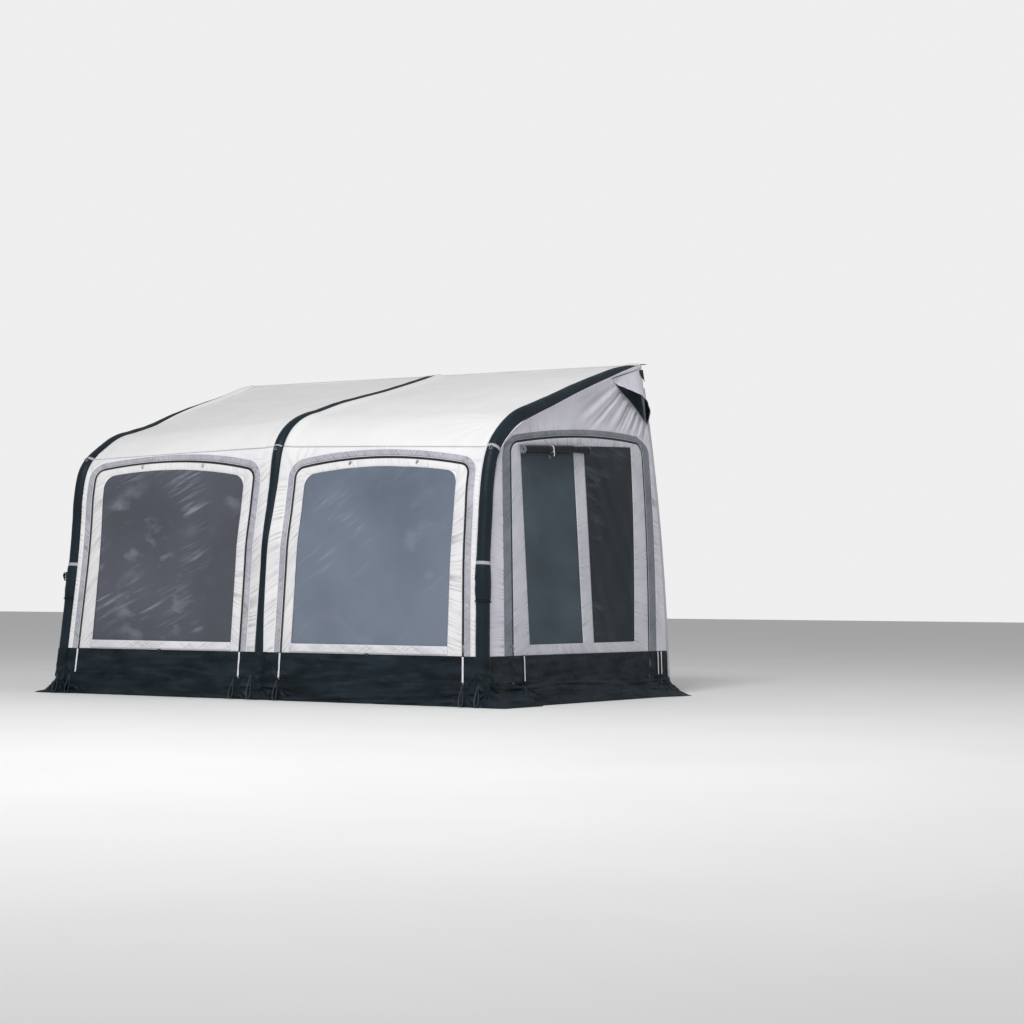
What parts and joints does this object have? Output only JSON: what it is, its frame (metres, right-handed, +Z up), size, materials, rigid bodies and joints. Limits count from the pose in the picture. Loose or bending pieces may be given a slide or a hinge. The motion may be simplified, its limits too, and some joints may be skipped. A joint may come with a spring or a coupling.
{
  "type": "campervan air awning",
  "caption": "Inflatable porch awning: curved air beams carry a fabric shell with zipped window panels, side doors, mudflaps and a rail edge, open towards the vehicle.",
  "frame": {"origin": "on the ground, at the middle of the footprint's bounding box", "axes": "+X along the vehicle, from the left end wall to the right one as seen from the front; -Y out of the front wall, +Y towards the vehicle; +Z up"},
  "size_m": [4.7928, 2.5806, 2.6711],
  "materials": {
    "bladder": "clear inflatable bladder film",
    "dark_fabric": "heavy coated mudflap fabric, near black",
    "foam_pad": "grey fabric over foam",
    "front_fabric": "matt coated polyester, off-white",
    "glass_fibre": "black glass-fibre rod",
    "keder_plastic": "smooth PVC cord",
    "mesh_fabric": "fine dark insect mesh",
    "metal": "satin nickel",
    "plastic": "moulded black",
    "roof_fabric": "matt coated polyester, warm light grey",
    "side_fabric": "matt coated polyester, lilac grey",
    "window_foil": "tinted clear foil, glossy",
    "zip_black": "black coil zip and tape",
    "zip_grey": "matt grey zip cover"
  },
  "bodies": {
    "shell": {"air_beam_centre": "bladder", "air_beam_left": "bladder", "air_beam_right": "bladder", "beam_cover_centre": "dark_fabric", "beam_cover_left": "dark_fabric", "beam_cover_right": "dark_fabric", "brace_pole_left": "glass_fibre", "brace_pole_right": "glass_fibre", "door_zip_cover_left": "zip_grey", "door_zip_cover_right": "zip_grey", "door_zip_tape_left": "zip_black", "door_zip_tape_right": "zip_black", "front_skirt_left": "dark_fabric", "front_skirt_right": "dark_fabric", "front_wall_left": "front_fabric", "front_wall_right": "front_fabric", "front_zip_cover_left": "zip_grey", "front_zip_cover_right": "zip_grey", "front_zip_tape_left": "zip_black", "front_zip_tape_right": "zip_black", "guy_pocket_left": "dark_fabric", "guy_pocket_right": "dark_fabric", "inflation_valve_centre": "plastic", "inflation_valve_left": "plastic", "inflation_valve_right": "plastic", "keder_bead": "keder_plastic", "keder_strip": "front_fabric", "rear_pad_left": "foam_pad", "rear_pad_right": "foam_pad", "roof_left": "roof_fabric", "roof_right": "roof_fabric", "side_skirt_left": "dark_fabric", "side_skirt_right": "dark_fabric", "side_wall_left": "side_fabric", "side_wall_right": "side_fabric", "vent_hood_left": "side_fabric", "vent_hood_right": "side_fabric", "vent_mesh_left": "mesh_fabric", "vent_mesh_right": "mesh_fabric"},
    "front_panel_left": {"front_panel_left": "front_fabric", "window_foil_left": "window_foil", "blind_pouch_left": "front_fabric"},
    "door_left": {"door_panel_left": "side_fabric", "door_mesh_left": "mesh_fabric", "door_foil_left": "window_foil", "blind_roll_left": "dark_fabric"},
    "front_zip_slider_left": {"front_slider_left": "metal"},
    "door_zip_slider_left": {"door_slider_left": "metal"},
    "front_panel_right": {"front_panel_right": "front_fabric", "window_foil_right": "window_foil", "blind_pouch_right": "front_fabric"},
    "door_right": {"door_panel_right": "side_fabric", "door_mesh_right": "mesh_fabric", "door_foil_right": "window_foil", "blind_roll_right": "dark_fabric"},
    "front_zip_slider_right": {"front_slider_right": "metal"},
    "door_zip_slider_right": {"door_slider_right": "metal"},
    "cap_left": {"valve_cap_left": "plastic"},
    "cap_centre": {"valve_cap_centre": "plastic"},
    "cap_right": {"valve_cap_right": "plastic"}
  },
  "joints": [
    {"name": "front_panel_fold_left", "type": "hinge", "parent": "shell", "child": "front_panel_left", "pos_m": [0, -1.24663, 0.155], "axis": [1, 0, 0], "range_deg": [0, 100]},
    {"name": "door_fold_left", "type": "hinge", "parent": "shell", "child": "door_left", "pos_m": [-1.96122, -0.8814, 0.155], "axis": [0.0557, 0.0614, 0.9966], "range_deg": [0, 100]},
    {"name": "front_zip_left", "type": "slide", "parent": "shell", "child": "front_zip_slider_left", "axis": [0.0528, 0.087, 0.9948], "range_m": [0, 0.95]},
    {"name": "door_zip_left", "type": "slide", "parent": "shell", "child": "door_zip_slider_left", "axis": [0.0557, 0.0614, 0.9966], "range_m": [0, 0.95]},
    {"name": "front_panel_fold_right", "type": "hinge", "parent": "shell", "child": "front_panel_right", "pos_m": [0, -1.24663, 0.155], "axis": [1, 0, 0], "range_deg": [0, 100]},
    {"name": "door_fold_right", "type": "hinge", "parent": "shell", "child": "door_right", "pos_m": [1.96122, -0.8814, 0.155], "axis": [0.0557, -0.0614, -0.9966], "range_deg": [0, 100]},
    {"name": "front_zip_right", "type": "slide", "parent": "shell", "child": "front_zip_slider_right", "axis": [-0.0528, 0.087, 0.9948], "range_m": [0, 0.95]},
    {"name": "door_zip_right", "type": "slide", "parent": "shell", "child": "door_zip_slider_right", "axis": [-0.0557, 0.0614, 0.9966], "range_m": [0, 0.95]},
    {"name": "valve_cap_hinge_left", "type": "hinge", "parent": "shell", "child": "cap_left", "pos_m": [-1.84284, -1.16381, 0.28626], "axis": [0.7071, -0.7071, 0], "range_deg": [0, 110]},
    {"name": "valve_cap_hinge_centre", "type": "hinge", "parent": "shell", "child": "cap_centre", "pos_m": [0, -1.14192, 0.28626], "axis": [1, 0, 0], "range_deg": [0, 110]},
    {"name": "valve_cap_hinge_right", "type": "hinge", "parent": "shell", "child": "cap_right", "pos_m": [1.84284, -1.16381, 0.28626], "axis": [0.7071, 0.7071, 0], "range_deg": [0, 110]}
  ]
}
